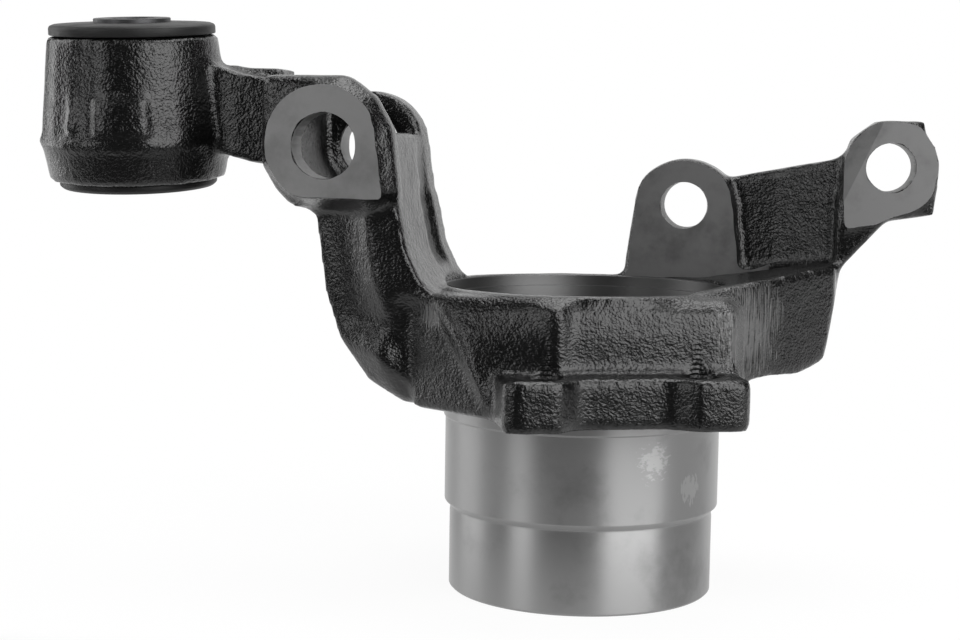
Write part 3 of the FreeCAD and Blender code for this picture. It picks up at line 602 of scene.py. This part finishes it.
def set_crease(spot):
    """Sinks the neck's foot below a slanting crease, so that the ring's wall stands out from it."""
    across = (spot.x - CREASE_SPOT[0]) * CREASE_ACROSS[0] + (spot.z - CREASE_SPOT[1]) * CREASE_ACROSS[1]
    below = (1.0 - ease(across, -1.5, 1.5)) * ease(spot.x, -58.0, -50.0)
    below *= (1.0 - ease(spot.z, 92.0, 100.0)) * (1.0 - ease(spot.y, -42.0, -36.0))
    spot.y += CREASE_DEPTH * below


def fill_ring_wall(spot):
    """Brings the ring's wall out above the left lobe, as far as the thread that shows in it."""
    wall = WALL_FRONT + WALL_SLOPE * max(WALL_END - spot.x, 0.0)
    full = band(spot.x, (-32.0, -22.0), (0.0, 5.0)) * band(spot.z, (76.5, 77.5), (95.0, 99.0))
    full *= 1.0 - ease(spot.y, -46.0, -45.0)
    spot.y -= min(max(spot.y - wall, 0.0), WALL_FILL) * full


def true_form(spot):
    """Where a point of the raw casting belongs, in millimetres, as the photograph shows the part."""
    spot = slim_eye(spot)
    set_neck_ridge(spot)
    set_crease(spot)
    fill_ring_wall(spot)
    corner = ease(spot.x, 56.0, 78.0) * ease(spot.y, -42.0, -36.0) * (1.0 - ease(spot.z, 84.0, 104.0))
    spot.z -= CORNER_DROP * corner
    if spot.x > 8.0 and spot.z > LEFT_BORE.z:
        top = ease(spot.z, LEFT_BORE.z + 8.0, LEFT_BORE.z + 17.0)
        spot.z -= EAR_DROP * (1.0 - ease(spot.x, 42.0, 48.0)) * top
    return spot


def add_rail(body):
    """Joins the low rail on the block, in front of the web between the link ears."""
    start, end = Vector((49.0, 33.0, 100.4)), Vector((76.0, 33.0, 105.4))
    bpy.ops.mesh.primitive_cylinder_add(vertices=16, radius=1.9 * MM, depth=(end - start).length * MM)
    rail = bpy.context.object
    rail.rotation_euler = (end - start).to_track_quat("Z", "Y").to_euler()
    rail.location = (start + end) / 2 * MM
    bpy.ops.object.transform_apply(location=True, rotation=True)
    body.select_set(True)
    bpy.context.view_layer.objects.active = body
    bpy.ops.object.join()


def add_allowance(body, spot, turn):
    """Moves a machined face of the raw casting out by the metal that the milling takes off."""
    normal = Vector((math.sin(turn), -math.cos(turn), 0))
    centre = Vector(spot) * MM
    for vertex in body.data.vertices:
        off = vertex.co - centre
        if abs(off.dot(normal)) < 0.03 * MM and off.length < 34.0 * MM:
            vertex.co += normal * MILLING_ALLOWANCE * MM


def make_raw_casting():
    """The casting as it leaves the sand: rounded edges, a waved skin and metal left on its faces."""
    body = bpy.data.objects.new("cast_body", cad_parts["knuckle_casting"].data.copy())
    bpy.context.scene.collection.objects.link(body)
    pick(body)
    bpy.ops.object.mode_set(mode="EDIT")
    bpy.ops.mesh.select_all(action="SELECT")
    bpy.ops.mesh.remove_doubles(threshold=0.00001)
    bpy.ops.object.mode_set(mode="OBJECT")
    for spot, turn in ((FORK_BORE, 0.0), (LEFT_BORE, 0.0), (RIGHT_BORE, RIGHT_TURN)):
        add_allowance(body, spot, turn)
    add_rail(body)
    finish_of(body, PAINT)
    finish_modifier(body, "REMESH", mode="VOXEL", voxel_size=SKIN_GRID * MM)
    for vertex in body.data.vertices:
        vertex.co = true_form(vertex.co / MM) * MM
    finish_modifier(body, "REMESH", mode="VOXEL", voxel_size=SKIN_GRID * MM)
    finish_modifier(body, "SMOOTH", factor=0.5, iterations=2)
    skin = bpy.data.textures.new("cast_skin", "CLOUDS")
    skin.noise_scale = SKIN_WAVE_SIZE
    finish_modifier(body, "DISPLACE", texture=skin, texture_coords="LOCAL",
                    strength=SKIN_WAVE_HEIGHT * MM, mid_level=0.5)
    return body


def make_cast_body():
    """The casting after machining: hub cut free, faces milled, holes bored and tapped."""
    body = make_raw_casting()
    hub_tool = turned_blank("hub_tool", [
        (70.0, -5.0), (70.0, FLANGE_HEIGHT - 0.8), (COLLAR_RADIUS + 0.02, FLANGE_HEIGHT - 0.8),
        (COLLAR_RADIUS + 0.02, RING_HEIGHT + 15.0)], 192)
    finish_of(hub_tool, PAINT)
    cut(body, hub_tool)
    for spot, turn, width in ((FORK_BORE, 0.0, 60.0), (LEFT_BORE, 0.0, 60.0), (RIGHT_BORE, RIGHT_TURN, 50.0)):
        cut(body, face_tool(spot, turn, width))
    cut(body, bore_tool(FORK_BORE_RADIUS, FORK_DEPTH + 6, FORK_BORE, 0.0))
    cut(body, bore_tool(LINK_BORE_RADIUS, 24.0, LEFT_BORE, 0.0))
    cut(body, bore_tool(LINK_BORE_RADIUS, 28.0, RIGHT_BORE, RIGHT_TURN))
    eye_tool = turned_blank("eye_tool", [(SLEEVE_RADIUS, -30.0), (SLEEVE_RADIUS, 50.0)], 128)
    place(eye_tool, EYE_PLACE, (("X", EYE_LEAN),))
    finish_of(eye_tool, PAINT)
    cut(body, eye_tool)
    for half_turn in (0.0, math.pi):
        for side in (-1, 1):
            cut(body, thread_tool(side, half_turn))
    pick(body)
    bpy.ops.object.shade_smooth_by_angle(angle=math.radians(35))
    for face in body.data.polygons:
        if face.material_index > 0 and face.normal.y < -0.98:
            face.use_smooth = False
    return body


def make_turned_hub():
    """The hub's turned metal: barrel with its two seats, bearing bore, recess and mouth."""
    hub = turned_ring("turned_hub", [
        (SEAT_BORE_RADIUS + 1.0, 0.0), (BARREL_RADIUS - 0.8, 0.0), (BARREL_RADIUS, 0.8),
        (BARREL_RADIUS, SHOULDER_HEIGHT - 3.6), (BARREL_RADIUS - RELIEF_DEPTH, SHOULDER_HEIGHT - 2.0),
        (BARREL_RADIUS - RELIEF_DEPTH, SHOULDER_HEIGHT - 1.4), (SEAT_RADIUS - 0.2, SHOULDER_TOP - 3.0),
        (SEAT_RADIUS, SHOULDER_TOP - 2.6), (SEAT_RADIUS, COLLAR_HEIGHT),
        (COLLAR_RADIUS, COLLAR_HEIGHT + 0.5), (COLLAR_RADIUS, FLANGE_HEIGHT + 4.0),
        (HUB_ROOT_RADIUS, FLANGE_HEIGHT + 8.0), (HUB_ROOT_RADIUS, RING_HEIGHT - 2.0),
        (MOUTH_RADIUS + 0.6, RING_HEIGHT - 0.1), (MOUTH_RADIUS, RING_HEIGHT - 0.6),
        (MOUTH_RADIUS, RING_HEIGHT - MOUTH_DEPTH), (RECESS_RADIUS, RING_HEIGHT - MOUTH_DEPTH),
        (RECESS_RADIUS, RECESS_FLOOR), (SEAT_BORE_RADIUS + 1.0, RECESS_FLOOR),
        (SEAT_BORE_RADIUS, RECESS_FLOOR - 1.0), (SEAT_BORE_RADIUS, CLIP_GROOVE_TOP),
        (CLIP_GROOVE_RADIUS, CLIP_GROOVE_TOP), (CLIP_GROOVE_RADIUS, CLIP_GROOVE_FOOT),
        (SEAT_BORE_RADIUS, CLIP_GROOVE_FOOT), (SEAT_BORE_RADIUS, 1.0)], 256)
    finish_of(hub, TURNED)
    soften(hub, 0.12)
    hub.data.materials.append(BORED)
    for face in hub.data.polygons:
        if face.center.z > FLANGE_HEIGHT * MM or Vector(face.center).xy.length < 40.0 * MM:
            face.material_index = 1
    return hub


# The bush

def bush_piece(name, corners, facets, material):
    """A turned piece of the bush, softened and set on the eye's axis."""
    piece = turned_ring(name, corners, facets)
    finish_of(piece, material)
    soften(piece, 0.3)
    place(piece, EYE_PLACE, (("X", EYE_LEAN),))
    return piece


def make_bush():
    """The rubber with its cap and lip, and the two sleeves that hold it."""
    liner = SLEEVE_RADIUS - 2.0
    rubber = bush_piece("rubber_body", [
        (CORE_RADIUS, -EYE_DROP - 2.7), (24.8, -EYE_DROP - 2.7), (25.9, -EYE_DROP - 1.7),
        (25.9, -EYE_DROP), (liner, -EYE_DROP), (liner, EYE_RISE + 0.3),
        (27.1, EYE_RISE + 0.3), (27.1, EYE_RISE + 2.6), (26.7, EYE_RISE + 3.3), (25.6, EYE_RISE + 3.7),
        (15.0, EYE_RISE + 4.2), (CORE_RADIUS, EYE_RISE + 4.3)], 160, RUBBER)
    outer = bush_piece("outer_sleeve", [
        (liner, -EYE_DROP), (SLEEVE_RADIUS, -EYE_DROP), (SLEEVE_RADIUS, EYE_RISE),
        (liner, EYE_RISE)], 160, SLEEVE_STEEL)
    core = bush_piece("inner_sleeve", [
        (CORE_BORE_RADIUS, -EYE_DROP - 4.0), (CORE_RADIUS, -EYE_DROP - 4.0), (CORE_RADIUS, EYE_RISE + 5.5),
        (CORE_BORE_RADIUS + 0.6, EYE_RISE + 5.5), (CORE_BORE_RADIUS, EYE_RISE + 4.9)], 128, SLEEVE_STEEL)
    return rubber, outer, core


cast_body = make_cast_body()
turned_hub = make_turned_hub()
rubber_body, outer_sleeve, inner_sleeve = make_bush()

for piece, node, slot in (
        (cast_body, "knuckle_casting", "painted_casting"), (turned_hub, "knuckle_casting", "painted_casting"),
        (rubber_body, "bush_rubber", "bush_rubber"), (outer_sleeve, "bush_outer_sleeve", "sleeve_steel"),
        (inner_sleeve, "bush_inner_sleeve", "sleeve_steel")):
    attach(piece, "root")
    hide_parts(node)


# Floor, backdrop, lamps and camera

def make_studio_paper():
    """White paper that glows behind and under the knuckle, and is plain and darker in front of it."""
    material = bpy.data.materials.new("studio_paper")
    material.use_nodes = True
    tree = material.node_tree
    tree.nodes.clear()
    spot = object_spot(tree)
    split = tree.nodes.new("ShaderNodeSeparateXYZ")
    tree.links.new(spot, split.inputs[0])
    white = slope_node(tree, split.outputs["Y"], -0.16, -0.09, 0.0, 1.0)
    shade = tree.nodes.new("ShaderNodeBsdfDiffuse")
    tint(tree, shade.inputs["Color"], white, 0.1, 0.85)
    glow = tree.nodes.new("ShaderNodeEmission")
    glow.inputs["Strength"].default_value = 1.0
    reach = vector_node(tree, "LENGTH", spot)
    share = slope_node(tree, reach.outputs["Value"], 0.1, 0.3, 0.93, 1.0)
    path = tree.nodes.new("ShaderNodeLightPath")
    seen = math_node(tree, "MAXIMUM", path.outputs["Is Camera Ray"], path.outputs["Is Glossy Ray"])
    seen = math_node(tree, "MAXIMUM", seen, path.outputs["Is Transmission Ray"])
    seen = math_node(tree, "MULTIPLY", seen, share)
    mix = tree.nodes.new("ShaderNodeMixShader")
    tree.links.new(math_node(tree, "MULTIPLY", seen, white), mix.inputs[0])
    tree.links.new(shade.outputs[0], mix.inputs[1])
    tree.links.new(glow.outputs[0], mix.inputs[2])
    out = tree.nodes.new("ShaderNodeOutputMaterial")
    tree.links.new(mix.outputs[0], out.inputs["Surface"])
    return material


def make_stage():
    """A pale floor that sweeps up into a backdrop behind the knuckle."""
    bpy.ops.mesh.primitive_plane_add(size=FLOOR_SIZE, location=(0, 0, 0))
    sweep = bpy.context.object
    sweep.name = "floor_sweep"
    bpy.ops.object.mode_set(mode="EDIT")
    bpy.ops.mesh.select_all(action="DESELECT")
    bpy.ops.object.mode_set(mode="OBJECT")
    for edge in sweep.data.edges:
        ends = [sweep.data.vertices[index].co for index in edge.vertices]
        edge.select = all(end.y > FLOOR_SIZE / 2 - 0.1 for end in ends)
    bpy.ops.object.mode_set(mode="EDIT")
    bpy.context.tool_settings.mesh_select_mode = (False, True, False)
    for step in ((0, 0.3, 0.1), (0, 0.2, 0.4), (0, 0, 4.0)):
        bpy.ops.mesh.extrude_region_move(TRANSFORM_OT_translate={"value": step})
    bpy.ops.object.mode_set(mode="OBJECT")
    sweep.data.materials.append(make_studio_paper())
    pick(sweep)
    bpy.ops.object.shade_smooth()


def add_softbox(name, spot, width, height, power):
    """A rectangular lamp that faces the knuckle, all in metres and watts."""
    lamp = bpy.data.lights.new(name, "AREA")
    lamp.shape = "RECTANGLE"
    lamp.size = width
    lamp.size_y = height
    lamp.energy = power
    box = bpy.data.objects.new(name, lamp)
    bpy.context.scene.collection.objects.link(box)
    box.location = spot
    box.rotation_euler = (Vector(KNUCKLE) - Vector(spot)).to_track_quat("-Z", "Y").to_euler()


def add_camera():
    """The photograph's view: a 67.5 mm lens, from the front and a little above."""
    turn, dip, roll = math.radians(11.5), math.radians(5.76), math.radians(0.85)
    across = Vector((math.cos(turn), math.sin(turn), 0))
    ahead = Vector((-math.sin(turn) * math.cos(dip), math.cos(turn) * math.cos(dip), -math.sin(dip)))
    above = across.cross(ahead)
    right = across * math.cos(roll) + above * math.sin(roll)
    up = above * math.cos(roll) - across * math.sin(roll)
    lens = bpy.data.cameras.new("camera")
    lens.lens = 67.5
    lens.sensor_width = 36.0
    lens.clip_start = 0.02
    camera = bpy.data.objects.new("camera", lens)
    bpy.context.scene.collection.objects.link(camera)
    camera.matrix_world = Matrix.Translation((0.0834, -0.5801, 0.1462)) @ Matrix(
        (right, up, -ahead)).transposed().to_4x4()
    bpy.context.scene.camera = camera


make_stage()
add_softbox("right_box", (0.66, -0.5, 0.42), 0.85, 0.9, 10.6)
add_softbox("left_front_box", (-0.56, -0.62, 0.4), 0.3, 0.9, 2.7)
add_softbox("left_back_box", (-0.8, 0.1, 0.4), 0.5, 0.9, 3.5)
add_softbox("top_box", (0.1, 0.15, 1.0), 0.8, 0.6, 7.0)
add_camera()

world = bpy.data.worlds.new("studio_air")
world.use_nodes = True
world.node_tree.nodes["Background"].inputs["Color"].default_value = (0.04, 0.04, 0.04, 1)
bpy.context.scene.world = world
bpy.context.scene.view_settings.view_transform = "Standard"
